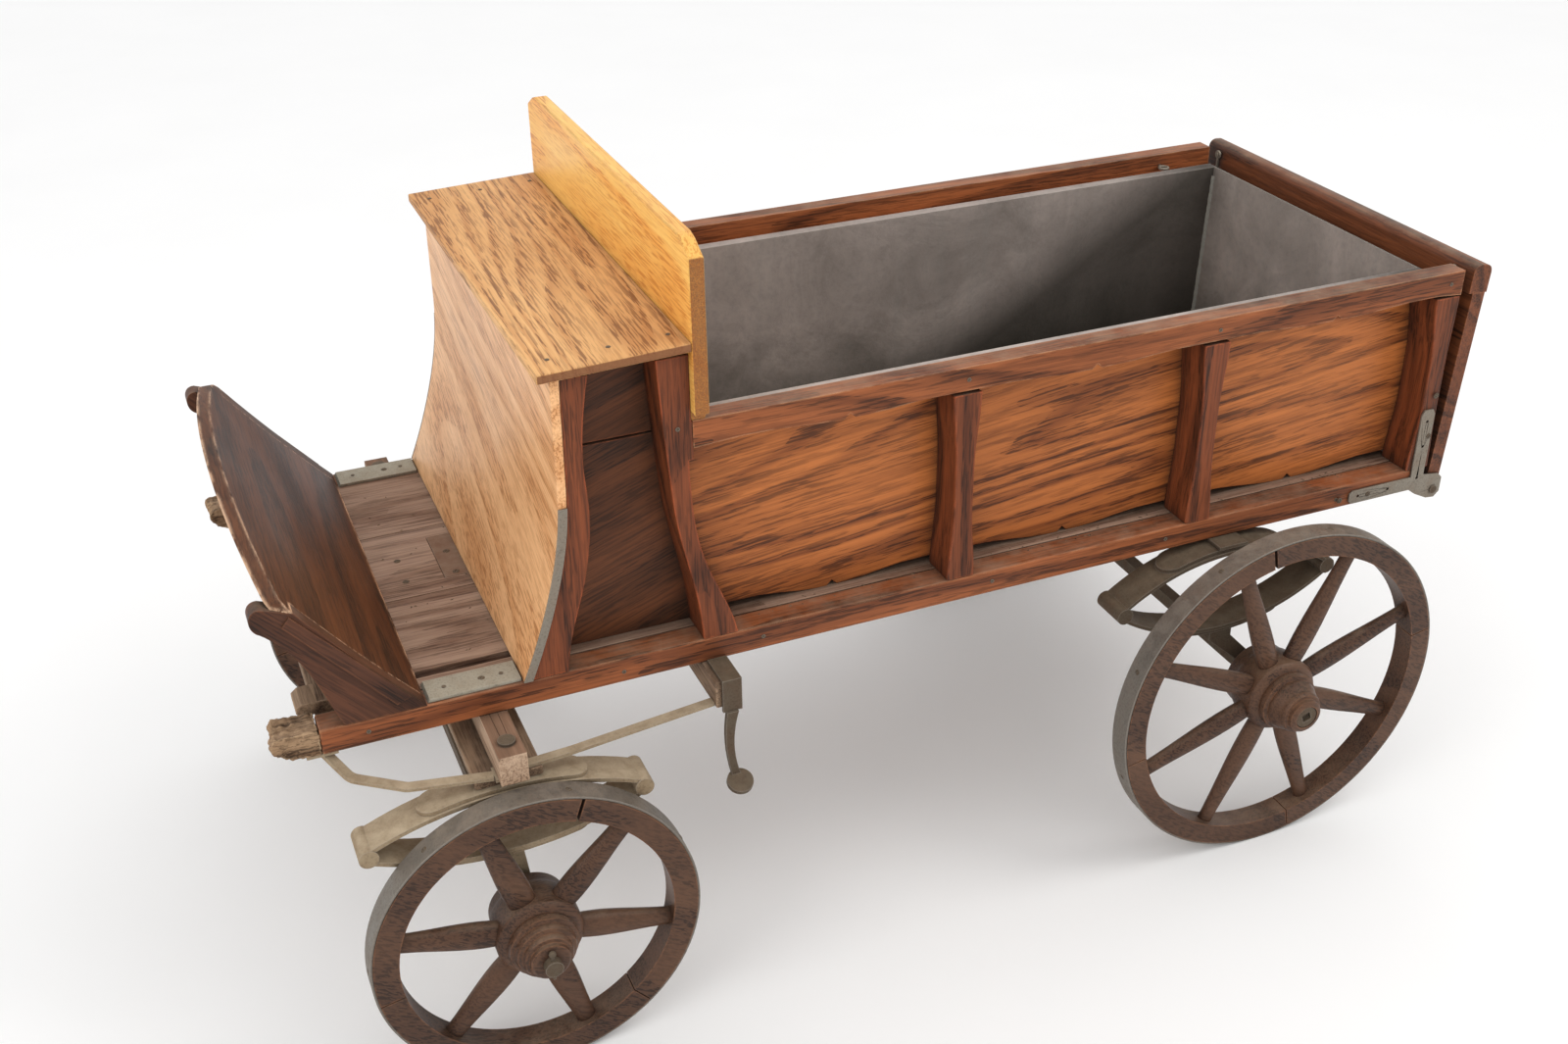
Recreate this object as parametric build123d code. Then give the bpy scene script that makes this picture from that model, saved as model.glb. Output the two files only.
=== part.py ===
from build123d import *
import math
import os

os.makedirs("parts", exist_ok=True)

# Frame: +X forward, +Y left, +Z up, millimetres. The origin is on the ground,
# under the middle of the whole wagon's box.

# ---------------------------------------------------------------- driving dimensions
HALF_BODY = 221.0            # outer face of sills, posts and rails
SILL_WIDTH = 25.0
SILL_BOTTOM = 333.5
SILL_TOP = 357.5
SILL_REAR = -560.0
BEARER_BOTTOM = 341.0
NOSE_JOINT = 559.0           # where the rounded nose block meets the sill
NOSE_TIP = 598.7
NOSE_WIDTH = 31.0

RAIL_TOP = 571.0
RAIL_BOTTOM = 545.0
RAIL_WIDTH = 20.0
RAIL_FRONT = 228.0
PANEL_FACE = 183.5           # outer face of the side boards, set back between the posts
PANEL_THICKNESS = 10.0
PANEL_TOP = 553.0
PANEL_JOINT = [(224.0, SILL_TOP), (241.0, PANEL_TOP)]  # joint hidden behind the seat's rear post
BAY_FRONT = 186.0
POST_WIDTH = 28.0
POST_WAIST = 19.0
STAKE_CENTRES = (-26.5, -285.0)
REAR_POST = (-536.5, -564.5)

SEAT_TOP = 643.5
SEAT_FRONT_DROP = 4.5
SEAT_THICKNESS = 8.0
SEAT_FRONT = 356.0
SEAT_HALF_WIDTH = 230.5
SEAT_BACK_FACE = 229.0       # front face of the seat back, where the seat board ends
SEAT_BACK_THICKNESS = 13.0
SEAT_BACK_TOP = 726.0
RISER_THICKNESS = 8.0
EDGING_THICKNESS = 1.5
BOARD_GAP = 549.0            # height of the open joint in the seat's side

FLOOR_TOP = SILL_TOP
FLOOR_THICKNESS = 12.0
DASH_FOOT = 470.0
DASH_TOP = (571.0, 484.0)
DASH_THICKNESS = 10.0
BRACKET_TOP = 472.0
BRACKET_WIDTH = 16.0
BRACKET_KNOB = (587.0, 481.0)
DASH_CROWN = 20.0            # how much higher the dash stands in the middle

LINER_HALF = 172.0
LINER_FRONT = 214.0
LINER_REAR_TOP = -553.0
LINER_REAR_FOOT = -545.0
LINER_TOP = 558.0
LINER_SHEET = 1.5
LINER_LIP = 11.0

EYE_PLACE = (-497.0, 558.0)  # screw eye's X and Z on the rail
TAILGATE_PIVOT = (-574.5, 330.0)
TAILGATE_RAKE = 3.6          # degrees the closed tailgate leans back
TAILGATE_THICKNESS = 15.0
TAILGATE_HALF = 220.0
PIVOT_PIN = 3.0
HOOK_PIVOT = (-573.6, 196.0, 562.0)
HOOK_WIRE = 1.2              # half the hook's thickness
HOOK_SCREW = 1.6
RUNNING_FIT = 0.05           # radial clearance of every turning fit
NAIL_RADIUS = 1.9

FRONT_AXLE_X = 412.5
REAR_AXLE_X = -354.0
WHEEL_FACE = 299.0           # outer face of the felloes
FELLOE_WIDTH = 24.0
TYRE_THICKNESS = 2.2
FRONT_RADIUS = 146.5
REAR_RADIUS = 181.5
FRONT_FELLOE_INNER = 122.0
REAR_FELLOE_INNER = 158.0
AXLE_RADIUS = 8.0
AXLE_BAR = 14.0
HUB_NUT = 11.5                # radius of the nut that holds a rear wheel on
HUB_NUT_Y = (333.0, 338.5)
HUB_SOCKET = 9.0              # width of the square socket in the nut's end
REAR_SPRING_X = -318.0
REAR_SPRING_WIDTH = (204.0, 240.0)
REAR_SPRING_BOTTOM = 232.0
REAR_SPRING_TOP = 330.0
SPRING_HALF = 119.0
STEP_TREAD_Z = 230.0

BOLSTER_HALF = 284.0
BOLSTER_BOTTOM = 305.0
PLATE_BOTTOM = 302.0         # underside of the rub plate and the stays' flat ends
TRANSOM_TOP = 301.8
TRANSOM_BOTTOM = 294.0
SPRING_WIDTH = (239.0, 273.0)
LEAF = 4.0
KNUCKLE_RADIUS = 8.5
KING_BOLT = 6.0
STEP_BAR_X = (205.0, 229.0)
STEP_BAR_HALF = 256.0
STEP_BAR_BOTTOM = 307.0


# ---------------------------------------------------------------- helpers
def block(x_range, y_range, z_range):
    """A box given by its limits along each axis."""
    size = [abs(b - a) for a, b in (x_range, y_range, z_range)]
    middle = [(a + b) / 2 for a, b in (x_range, y_range, z_range)]
    return Pos(*middle) * Box(*size)


def outline(paths, place):
    """Closed outline from runs of points: two points are straight, more make a curve."""
    edges = []
    for path in paths:
        points = [place(a, b) for a, b in path]
        edges.append(Line(*points) if len(points) == 2 else Spline(*points))
    return make_face(edges)


def side_profile(paths, y_range):
    """Solid between two planes across the wagon, from an outline in X and Z."""
    low, high = min(y_range), max(y_range)
    face = outline(paths, lambda x, z: (x, low, z))
    return extrude(face, amount=high - low, dir=(0, 1, 0))


def side_polygon(points, y_range):
    """Solid between two planes across the wagon, from straight runs in X and Z."""
    return side_profile(list(zip(points, points[1:] + points[:1])), y_range)


def end_polygon(points, x_range):
    """Solid between two planes along the wagon, from straight runs in Y and Z."""
    low, high = min(x_range), max(x_range)
    paths = list(zip(points, points[1:] + points[:1]))
    face = outline(paths, lambda y, z: (low, y, z))
    return extrude(face, amount=high - low, dir=(1, 0, 0))


def rod(start, end, radius):
    """Round bar between two points."""
    a, b = Vector(*start), Vector(*end)
    return extrude(Plane(a, z_dir=b - a) * Circle(radius), amount=(b - a).length)


def bar(points, width, height, bend):
    """Flat bar along a route of straight runs joined by arcs, its width kept level."""
    route = FilletPolyline(*points, radius=bend) if len(points) > 2 else Line(*points)
    along = route % 0
    level = Vector(0, 0, 1).cross(along)
    return sweep(Plane(route @ 0, x_dir=level, z_dir=along) * Rectangle(width, height), path=route)


def both_sides(solid):
    """The left-hand solid and its mirror image on the right."""
    return [solid, mirror(solid, about=Plane.XZ)]


def solids_of(items):
    """Every separate solid in a shape or a list of shapes."""
    items = items if isinstance(items, (list, tuple)) else [items]
    return [solid for item in items for solid in item.solids()]


def save(name, *items):
    """Write one node: a single solid or a group of separate ones."""
    solids = [solid for item in items for solid in solids_of(item)]
    shape = solids[0] if len(solids) == 1 else Compound(children=solids)
    export_step(shape, "parts/" + name + ".step")


# ---------------------------------------------------------------- floor frame
def sill():
    """Lengthwise bottom rail of the body."""
    return block((SILL_REAR, NOSE_JOINT), (HALF_BODY - SILL_WIDTH, HALF_BODY), (SILL_BOTTOM, SILL_TOP))


def sill_nose():
    """Rounded block that ends the sill, wider than it on the inside."""
    inner = HALF_BODY - NOSE_WIDTH
    top = SILL_TOP + 0.5
    paths = [
        [(NOSE_JOINT, SILL_BOTTOM - 0.5), (NOSE_JOINT, top)],
        [(NOSE_JOINT, top), (NOSE_TIP - 5, top + 1)],
        [(NOSE_TIP - 5, top + 1), (NOSE_TIP, top - 7), (NOSE_TIP - 7, SILL_BOTTOM + 6),
         (NOSE_TIP - 24, SILL_BOTTOM - 0.5)],
        [(NOSE_TIP - 24, SILL_BOTTOM - 0.5), (NOSE_JOINT, SILL_BOTTOM - 0.5)],
    ]
    return side_profile(paths, (inner, HALF_BODY))


def front_crosspiece():
    """Plank between the sills ahead of the dash."""
    inner = HALF_BODY - SILL_WIDTH
    return block((534, 556), (-inner, inner), (SILL_BOTTOM, BEARER_BOTTOM))


def shaft_bearer():
    """Lengthwise bar on the crosspiece that carries a shaft's root."""
    low, high = BEARER_BOTTOM, BEARER_BOTTOM + 12
    points = [(490, low), (490, high), (566, high), (571, high - 4), (571, low + 3), (567, low)]
    return side_polygon(points, (143, 172))


def floor_bearers():
    """Cross bars between the sills that carry the floor boards."""
    inner = HALF_BODY - SILL_WIDTH
    height = (SILL_BOTTOM, FLOOR_TOP - FLOOR_THICKNESS)
    centres = (FRONT_AXLE_X + 4, 217, -26.5, REAR_AXLE_X, -520)
    return [block((x - 12, x + 12), (-inner, inner), height) for x in centres]


def foot_boards():
    """Three boards of the footwell floor, the left one with an open slot beside the sill."""
    edges = (-195, -74, 48, 195)
    height = (FLOOR_TOP - FLOOR_THICKNESS, FLOOR_TOP)
    boards = [block((220, 488), (a + 0.4, b), height) for a, b in zip(edges, edges[1:])]
    slot = block((378, DASH_FOOT), (168.4, 178.5), height)
    return [board - floor_patch() - slot for board in boards]


def floor_patch():
    """Iron plate let into the footwell floor."""
    return block((386.5, 410), (-53, 27), (FLOOR_TOP - 2, FLOOR_TOP))


def box_floor():
    """Boards under the box."""
    edges = (-195, -65, 65, 195)
    height = (FLOOR_TOP - FLOOR_THICKNESS, FLOOR_TOP)
    return [block((-545, 219.5), (a + 0.4, b), height) for a, b in zip(edges, edges[1:])]


def foot_iron():
    """Strap on the sill beside the footwell."""
    low = SILL_TOP
    points = [(389, low), (389, low + 3), (467, low + 3), (469, low)]
    return side_polygon(points, (189, HALF_BODY - 3))


# ---------------------------------------------------------------- dash
def dash_line(z):
    """X of the dash's inner face at a height: it leans forward, slightly hollow."""
    foot_x, foot_z = DASH_FOOT, FLOOR_TOP
    top_x, top_z = DASH_TOP
    t = (z - foot_z) / (top_z - foot_z)
    return foot_x + (top_x - foot_x) * t + 4 * 3.0 * t * (1 - t)


def dash_board():
    """Leaning dash board with a crowned top edge, its ends let into the brackets."""
    heights = [FLOOR_TOP + k * (DASH_TOP[1] + 36 - FLOOR_TOP) / 5 for k in range(6)]
    inner = [(dash_line(z), z) for z in heights]
    outer = [(x + DASH_THICKNESS * 0.78, z - DASH_THICKNESS * 0.63) for x, z in inner]
    outer[0] = (inner[0][0] + DASH_THICKNESS * 1.28, FLOOR_TOP)
    paths = [inner, [inner[-1], outer[-1]], list(reversed(outer)), [outer[0], inner[0]]]
    slab = side_profile(paths, (-HALF_BODY, HALF_BODY))
    top = DASH_TOP[1]
    corner = HALF_BODY - 14
    crown = [
        [(-HALF_BODY, FLOOR_TOP - 20), (-HALF_BODY, top - 10)],
        [(-HALF_BODY, top - 10), (-corner - 8, top - 3), (-corner, top)],
        [(-corner, top), (-corner / 2, top + 0.76 * DASH_CROWN), (0, top + DASH_CROWN),
         (corner / 2, top + 0.76 * DASH_CROWN), (corner, top)],
        [(corner, top), (corner + 8, top - 3), (HALF_BODY, top - 10)],
        [(HALF_BODY, top - 10), (HALF_BODY, FLOOR_TOP - 20)],
        [(HALF_BODY, FLOOR_TOP - 20), (-HALF_BODY, FLOOR_TOP - 20)],
    ]
    face = outline(crown, lambda y, z: (420, y, z))
    shaped = slab & extrude(face, amount=220, dir=(1, 0, 0))
    return shaped - bracket_space()


def bracket_space():
    """Space of the two brackets, cut out of the dash board's ends."""
    start_x = dash_line(BRACKET_TOP)
    slope = (BRACKET_KNOB[1] - BRACKET_TOP) / (BRACKET_KNOB[0] - start_x)
    far = 640
    points = [(400, 300), (400, BRACKET_TOP), (start_x, BRACKET_TOP),
              (far, BRACKET_TOP + slope * (far - start_x)), (far, 300)]
    return both_sides(side_polygon(points, (HALF_BODY - BRACKET_WIDTH, HALF_BODY + 1)))


def dash_bracket():
    """Side bracket on the sill with a hollow front edge and a knob at its tip."""
    foot = SILL_TOP
    heights = [foot + k * (BRACKET_TOP - foot) / 4 for k in range(5)]
    upper = [(dash_line(z), z) for z in heights]
    knob = BRACKET_KNOB
    paths = [
        upper,
        [upper[-1], knob],
        [knob, (595, 477), (596, 467), (590, 459)],
        [(590, 459), (578, 447), (563, 424), (551, 395), (538, foot)],
        [(538, foot), upper[0]],
    ]
    return side_profile(paths, (HALF_BODY - BRACKET_WIDTH, HALF_BODY))


def dash_batten():
    """Thin wedge-shaped strip on the bracket beside the dash board's end."""
    points = [(482, 371), (494, 366), (573, 462), (566, 470)]
    return side_polygon(points, (HALF_BODY, HALF_BODY + 1.5))


# ---------------------------------------------------------------- seat
RISER_CURVE = [(343.5, 630), (344.5, 590), (345, 550), (346, 515), (350, 480),
               (359, 440), (370, 404), (388, SILL_TOP)]
FRONT_POST_REAR = [(348, SILL_TOP), (337, 411), (328.5, 440), (322.5, 470),
                   (319.5, 512), (321.5, 546), (320, 580), (312.5, 628)]
REAR_POST_FRONT = [(257, 630), (253.5, 570), (250, 525), (244.5, 472), (237, 435), (226, SILL_TOP)]
REAR_POST_REAR = [(193.5, SILL_TOP), (208, 402), (219, 430), (226, 456), (230, 485), (232, 520)]


def riser_outline(depth):
    """The riser's curve moved back by a depth, from top to foot."""
    return [(x - depth, z) for x, z in RISER_CURVE]


def seat_riser():
    """Curved board from the seat's front edge down to the floor."""
    front, rear = riser_outline(0), riser_outline(RISER_THICKNESS)
    paths = [front, [front[-1], rear[-1]], list(reversed(rear)), [rear[0], front[0]]]
    return side_profile(paths, (-HALF_BODY, HALF_BODY))


def riser_edging():
    """Thin metal strip on the lower end of the riser's edge."""
    lower = [(x, z) for x, z in RISER_CURVE if z < 520]
    rear = [(x - RISER_THICKNESS, z) for x, z in lower]
    paths = [lower, [lower[-1], rear[-1]], list(reversed(rear)), [rear[0], lower[0]]]
    return side_profile(paths, (HALF_BODY, HALF_BODY + EDGING_THICKNESS))


def side_group(solid):
    """Left and right copies as one shape to cut with."""
    left, right = both_sides(solid)
    return left + right


def seat_post_front():
    """Post behind the riser, its front edge following the riser."""
    front = riser_outline(RISER_THICKNESS)
    paths = [front, [front[-1], FRONT_POST_REAR[0]], FRONT_POST_REAR, [FRONT_POST_REAR[-1], front[0]]]
    return side_profile(paths, (PANEL_FACE, HALF_BODY)) - seat_board()


def seat_post_rear():
    """Post under the seat's rear edge, its foot swept back."""
    top = (232, RAIL_BOTTOM - 10)
    paths = [
        REAR_POST_FRONT,
        [REAR_POST_FRONT[-1], REAR_POST_REAR[0]],
        REAR_POST_REAR,
        [REAR_POST_REAR[-1], top],
        [top, (RAIL_FRONT, top[1])],
        [(RAIL_FRONT, top[1]), (RAIL_FRONT, 630)],
        [(RAIL_FRONT, 630), REAR_POST_FRONT[0]],
    ]
    return side_profile(paths, (PANEL_FACE, HALF_BODY)) - seat_back()


def seat_side_boards():
    """Two boards that close the seat's side, with an open joint between them."""
    inner = PANEL_FACE - PANEL_THICKNESS
    front = riser_outline(RISER_THICKNESS + 1.5)
    low_front = [p for p in front if p[1] < BOARD_GAP - 2]
    start = (low_front[0][0], BOARD_GAP - 1)
    lower = side_profile([
        [start] + low_front,
        [low_front[-1], (PANEL_JOINT[0][0] + 0.6, SILL_TOP)],
        [(PANEL_JOINT[0][0] + 0.6, SILL_TOP), (PANEL_JOINT[1][0] + 0.6, BOARD_GAP - 1)],
        [(PANEL_JOINT[1][0] + 0.6, BOARD_GAP - 1), start],
    ], (inner, PANEL_FACE))
    top = SEAT_TOP - SEAT_THICKNESS - SEAT_FRONT_DROP - 1
    rear = PANEL_JOINT[1][0] + 2
    upper = side_polygon([(335.5, BOARD_GAP + 1), (335, top), (rear, top + 3), (rear, BOARD_GAP + 1)],
                         (inner, PANEL_FACE))
    return [lower, upper]


def seat_board():
    """Seat plank, its front edge slightly lower."""
    rear, front = SEAT_BACK_FACE, SEAT_FRONT
    points = [
        (rear, SEAT_TOP - SEAT_THICKNESS), (rear, SEAT_TOP),
        (front, SEAT_TOP - SEAT_FRONT_DROP), (front, SEAT_TOP - SEAT_FRONT_DROP - SEAT_THICKNESS),
    ]
    return side_polygon(points, (-SEAT_HALF_WIDTH, SEAT_HALF_WIDTH))


def seat_back():
    """Upright back rest standing on the rails' front ends, corners cut off."""
    half = SEAT_HALF_WIDTH
    shoulder = half - 28
    points = [
        (-half, RAIL_TOP + 8), (-half, SEAT_BACK_TOP - 13), (-shoulder - 10, SEAT_BACK_TOP - 3),
        (-shoulder, SEAT_BACK_TOP), (shoulder, SEAT_BACK_TOP), (shoulder + 10, SEAT_BACK_TOP - 3),
        (half, SEAT_BACK_TOP - 13), (half, RAIL_TOP + 8),
        (HALF_BODY, RAIL_TOP + 8), (HALF_BODY, RAIL_TOP),
        (-HALF_BODY, RAIL_TOP), (-HALF_BODY, RAIL_TOP + 8),
    ]
    return end_polygon(points, (SEAT_BACK_FACE - SEAT_BACK_THICKNESS, SEAT_BACK_FACE))


# ---------------------------------------------------------------- box
def bays():
    """Lengthwise limits of the three open bays between the posts."""
    half = POST_WIDTH / 2
    first, second = STAKE_CENTRES
    return [(first + half, BAY_FRONT), (second + half, first - half),
            (REAR_POST[0], second - half)]


def scallop(x_range, level, rise, notch):
    """Points of one scalloped edge: raised at the ends, with a notch in the middle."""
    low, high = x_range
    span = high - low
    middle = (low + high) / 2
    steps = [0.0, 0.14, 0.24, 0.34, 0.42]
    lift = [1.0, 0.96, 0.62, 0.18, 0.0]
    left = [(low + span * s, level + rise * k) for s, k in zip(steps, lift)]
    right = [(high - span * s, level + rise * k) for s, k in zip(steps, lift)]
    tip = [(middle - 5, level), (middle, level + notch), (middle + 5, level)]
    return left + tip + list(reversed(right))


def top_rail():
    """Top rail of the box, its lower edge scalloped between the posts."""
    points = [(REAR_POST[1], RAIL_BOTTOM + 1), (REAR_POST[1], RAIL_TOP), (RAIL_FRONT, RAIL_TOP),
              (RAIL_FRONT, RAIL_BOTTOM + 1)]
    for bay in bays():
        points += list(reversed(scallop(bay, RAIL_BOTTOM, 3.5, 4.5)))
    return side_polygon(points, (HALF_BODY - RAIL_WIDTH, HALF_BODY)) - eye_shank()


def side_board():
    """Side board behind the posts, its lower edge scalloped in each bay."""
    rear = REAR_POST[1] + 3
    points = [(rear, SILL_TOP), (rear, PANEL_TOP), PANEL_JOINT[1], PANEL_JOINT[0]]
    for bay in bays():
        points += list(reversed(scallop(bay, SILL_TOP, 7, 5)))
    return side_polygon(points, (PANEL_FACE - PANEL_THICKNESS, PANEL_FACE))


def waisted_post(low_x, high_x, shift):
    """Post with flared ends and a narrower waist, under the top rail."""
    inset = (POST_WIDTH - POST_WAIST) / 2
    z0, z1 = SILL_TOP, RAIL_BOTTOM
    span = z1 - z0
    heights = [(0, 0), (0.12, 0.25), (0.3, 0.9), (0.5, 1), (0.7, 0.9), (0.88, 0.25), (1, 0)]
    rear = [(low_x + inset * k * shift, z0 + span * t) for t, k in heights]
    front = [(high_x - inset * k * (2 - shift), z0 + span * t) for t, k in reversed(heights)]
    paths = [rear, [rear[-1], front[0]], front, [front[-1], rear[0]]]
    return side_profile(paths, (PANEL_FACE, HALF_BODY))


def side_posts():
    """Two waisted posts and the rear corner post of one side."""
    half = POST_WIDTH / 2
    posts = [waisted_post(x - half, x + half, 1.0) for x in STAKE_CENTRES]
    return posts + [waisted_post(REAR_POST[1], REAR_POST[0], 0.5)]


def box_front_board():
    """Board that closes the front of the box under the seat back."""
    inner = PANEL_FACE - PANEL_THICKNESS
    return block((SEAT_BACK_FACE - SEAT_BACK_THICKNESS, SEAT_BACK_FACE - 4), (-inner, inner),
                 (FLOOR_TOP, RAIL_TOP))


def zinc_liner():
    """Open zinc box with a folded lip, its rear wall leaning back."""
    half, sheet, floor = LINER_HALF, LINER_SHEET, FLOOR_TOP
    outer = side_polygon([(LINER_REAR_FOOT, floor), (LINER_REAR_TOP, LINER_TOP),
                          (LINER_FRONT, LINER_TOP), (LINER_FRONT, floor)], (-half, half))
    inner = side_polygon([(LINER_REAR_FOOT + sheet, floor + sheet), (LINER_REAR_TOP + sheet, LINER_TOP + 5),
                          (LINER_FRONT - sheet, LINER_TOP + 5), (LINER_FRONT - sheet, floor + sheet)],
                         (-half + sheet, half - sheet))
    lip = block((LINER_REAR_TOP, LINER_FRONT), (-half - LINER_LIP, half + LINER_LIP),
                (LINER_TOP - sheet, LINER_TOP))
    return (outer + lip) - inner


def corner_iron():
    """Three-legged iron at the rear corner, its rear tab drilled for the tailgate's pin."""
    face = (HALF_BODY, HALF_BODY + 2.2)
    x, z = TAILGATE_PIVOT
    upright = side_polygon([(-559, 340), (-559, 420), (-556, 425), (-546, 425), (-543, 420), (-543, 340)], face)
    forward = side_polygon([(-550, 335.5), (-550, 350), (-471, 350), (-467, 347), (-467, 339), (-471, 335.5)],
                           face)
    tab = side_polygon([(-543, 350), (-543, 335.5), (-552, 329), (-568, 321), (-578, 320), (-584, 326),
                        (-584, 342), (-579, 347), (-559, 350)], face)
    holes = [(-551, 412), (-551, 384), (-551, 348), (-478, 343), (-515, 343)]
    iron = upright + forward + tab
    for hole_x, hole_z in holes:
        iron -= rod((hole_x, face[0] - 1, hole_z), (hole_x, face[1] + 1, hole_z), 1.7)
    return iron - rod((x, face[0] - 1, z), (x, face[1] + 1, z), PIVOT_PIN)


def tailgate_pin():
    """Pin from the corner iron into the tailgate's end."""
    x, z = TAILGATE_PIVOT
    head = rod((x, HALF_BODY + 2.2, z), (x, HALF_BODY + 3.8, z), 4.5)
    return rod((x, HALF_BODY - 22, z), (x, HALF_BODY + 2.2, z), PIVOT_PIN) + head


def eye_shank():
    """Screwed shank of the eye in the rail's inner face."""
    x, z = EYE_PLACE
    inner = HALF_BODY - RAIL_WIDTH
    return rod((x, inner + 8, z), (x, inner - 5, z), 1.5)


def rail_eye():
    """Screw eye in the rail's inner face that the tailgate hook drops into."""
    x, z = EYE_PLACE
    return eye_shank() + Pos(x, HALF_BODY - RAIL_WIDTH - 9, z) * Torus(5, 1.5)


# ---------------------------------------------------------------- undercarriage fixed to the body
def front_bolster():
    """Crossbar under the sills above the front springs."""
    x = FRONT_AXLE_X + 4
    whole = block((x - 12, x + 12), (-BOLSTER_HALF, BOLSTER_HALF), (BOLSTER_BOTTOM, SILL_BOTTOM))
    return whole - king_bolt() - side_group(carriage_bolt())


def carriage_bolt():
    """Round-headed bolt through the bolster's end."""
    x, y = FRONT_AXLE_X + 4, 264.0
    head = Pos(x, y, SILL_BOTTOM + 1.4) * Cylinder(7.5, 2.8)
    shank = rod((x, y, PLATE_BOTTOM), (x, y, SILL_BOTTOM), 3.2)
    return head + shank


def rub_plate():
    """Iron disc under the bolster that the turning transom rubs on."""
    x = FRONT_AXLE_X + 4
    return rod((x, 0, PLATE_BOTTOM), (x, 0, BOLSTER_BOTTOM), 38) - king_bolt()


def king_bolt():
    """Headed bolt that the fore carriage turns on, with its nut."""
    x = FRONT_AXLE_X + 4
    shank = rod((x, 0, TRANSOM_BOTTOM - 14), (x, 0, SILL_BOTTOM), KING_BOLT)
    nut = extrude(Plane((x, 0, TRANSOM_BOTTOM - 10)) * RegularPolygon(11, 6), amount=9.5)
    head = rod((x, 0, SILL_BOTTOM), (x, 0, SILL_BOTTOM + 5), KING_BOLT + 4)
    return shank + nut + head


def front_stay():
    """Flat bar from under the bolster's end forward and up to the sill."""
    x, y = FRONT_AXLE_X + 4, 264.0
    flat = block((x - 14, x + 14), (y - 9, y + 9), (PLATE_BOTTOM, BOLSTER_BOTTOM))
    route = [(x + 14, y + 1, 303.5), (500, 253, 305), (541, 229, 310), (558, 212, SILL_BOTTOM - 2)]
    stay = bar(route, 10, 3, 14)
    foot = block((546, 572), (203, 219), (SILL_BOTTOM - 3, SILL_BOTTOM))
    return (flat + stay + foot) - side_group(carriage_bolt()) - sill() - sill_nose()


def rear_stay():
    """Flat bar from the bolster's end back to the step bar."""
    x, y = FRONT_AXLE_X + 4, 264.0
    route = [(x - 14, y - 4, 303.5), (360, 257, 303.5), (STEP_BAR_X[1], 247, 309)]
    return bar(route, 9, 3, 60) - step_bar()


def step_bar():
    """Crossbar behind the front wheels that carries the steps."""
    return block(STEP_BAR_X, (-STEP_BAR_HALF, STEP_BAR_HALF), (STEP_BAR_BOTTOM, SILL_BOTTOM))


def step_iron():
    """Strap over the step bar's end with a hanging stem and a round tread."""
    x0, x1 = STEP_BAR_X
    middle = x0 + 10
    end = STEP_BAR_HALF
    low, foot = STEP_BAR_BOTTOM - 4, STEP_TREAD_Z + 4
    strap_top = block((x0 + 1, x1 - 5), (HALF_BODY + 1, end), (SILL_BOTTOM, SILL_BOTTOM + 2.5))
    strap_end = block((x0 + 1, x1 - 5), (end, end + 3), (low, SILL_BOTTOM + 2.5))
    stem_paths = [[(middle - 5, low), (middle + 6, low)],
                  [(middle + 6, low), (middle + 8, 275), (middle + 3, foot)],
                  [(middle + 3, foot), (middle - 5, foot)],
                  [(middle - 5, foot), (middle, 275), (middle - 5, low)]]
    stem = side_profile(stem_paths, (end, end + 5))
    tread = Pos(middle - 2, end + 10, STEP_TREAD_Z) * Rot(-25, 0, 0) * Cylinder(12, 5)
    return strap_top + strap_end + stem + tread


def rear_bolster():
    """Flat iron crossbar under the sills on top of the rear springs."""
    x = REAR_SPRING_X
    return block((x - 16, x + 16), (-REAR_SPRING_WIDTH[1], REAR_SPRING_WIDTH[1]), (REAR_SPRING_TOP, SILL_BOTTOM))


# ---------------------------------------------------------------- springs and axles
def leaf(centre_x, half, end_z, mid_z, y_range):
    """One spring leaf: an arc through its two ends and its middle."""
    low, high = min(y_range), max(y_range)
    points = [(centre_x - half, end_z), (centre_x, mid_z), (centre_x + half, end_z)]
    under = ThreePointArc(*[(x, low, z) for x, z in points])
    over = ThreePointArc(*[(x, low, z + LEAF) for x, z in points])
    ends = [Line((x, low, end_z), (x, low, end_z + LEAF)) for x in (centre_x - half, centre_x + half)]
    face = make_face([under, over] + ends)
    return extrude(face, amount=high - low, dir=(0, 1, 0))


def elliptic_spring(centre_x, low_z, high_z, y_range):
    """Elliptic spring: two leaves above, two below, joined by a knuckle at each end."""
    middle = (low_z + high_z) / 2
    gap = 3.0
    upper = leaf(centre_x, SPRING_HALF, middle + gap, high_z - 2 * LEAF, y_range)
    lower = leaf(centre_x, SPRING_HALF, middle - gap - LEAF, low_z + LEAF, y_range)
    knuckles = [rod((x, y_range[0] - 1, middle), (x, y_range[1] + 1, middle), KNUCKLE_RADIUS)
                for x in (centre_x - SPRING_HALF, centre_x + SPRING_HALF)]
    short = [short_leaf(upper, centre_x, LEAF, y_range), short_leaf(lower, centre_x, -LEAF, y_range)]
    for knuckle in knuckles:
        upper -= knuckle
        lower -= knuckle
    return [upper, lower] + short + knuckles


def short_leaf(main_leaf, centre_x, shift, y_range):
    """Shorter outer leaf that follows the main leaf's arc and ends in round tongues."""
    width = y_range[1] - y_range[0] - 4
    y = (y_range[0] + y_range[1]) / 2
    tongue = Plane((centre_x, y, 150)) * SlotOverall(1.24 * SPRING_HALF, width)
    return (Pos(0, 0, shift) * main_leaf) & extrude(tongue, amount=250)


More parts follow.
